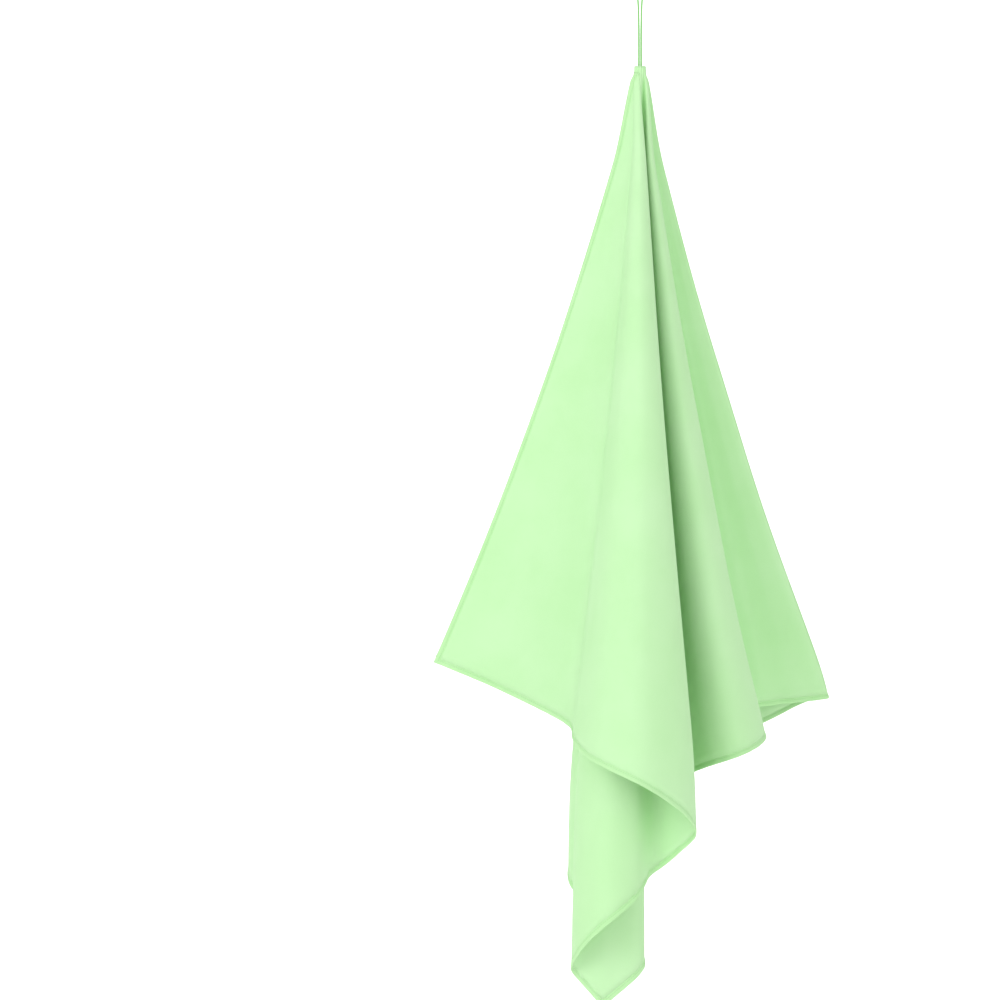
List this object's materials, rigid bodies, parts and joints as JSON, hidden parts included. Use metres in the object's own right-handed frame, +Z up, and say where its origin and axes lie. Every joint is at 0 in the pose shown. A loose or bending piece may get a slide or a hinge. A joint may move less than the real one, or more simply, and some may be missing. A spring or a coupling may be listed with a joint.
{
  "type": "quick dry towel",
  "caption": "Thin mint green microfibre towel hanging in folds from a cord loop sewn to the middle of its long side.",
  "frame": {"origin": "the point inside the top of the hanging loop where a hook bears", "axes": "+Z up along the plumb line of the hanging towel, -Y out of its front face, +X to the right as seen from the front"},
  "size_m": [0.4896, 0.4721, 1.1859],
  "materials": {
    "mint_microfibre": "matt brushed microfibre",
    "mint_cord": "matt braided cord",
    "mint_thread": "satin polyester thread",
    "white_tape": "satin woven tape"
  },
  "bodies": {
    "root": {"towel_cloth": "mint_microfibre", "hanging_loop": "mint_cord", "loop_bartack": "mint_thread", "care_label": "white_tape"}
  },
  "joints": []
}
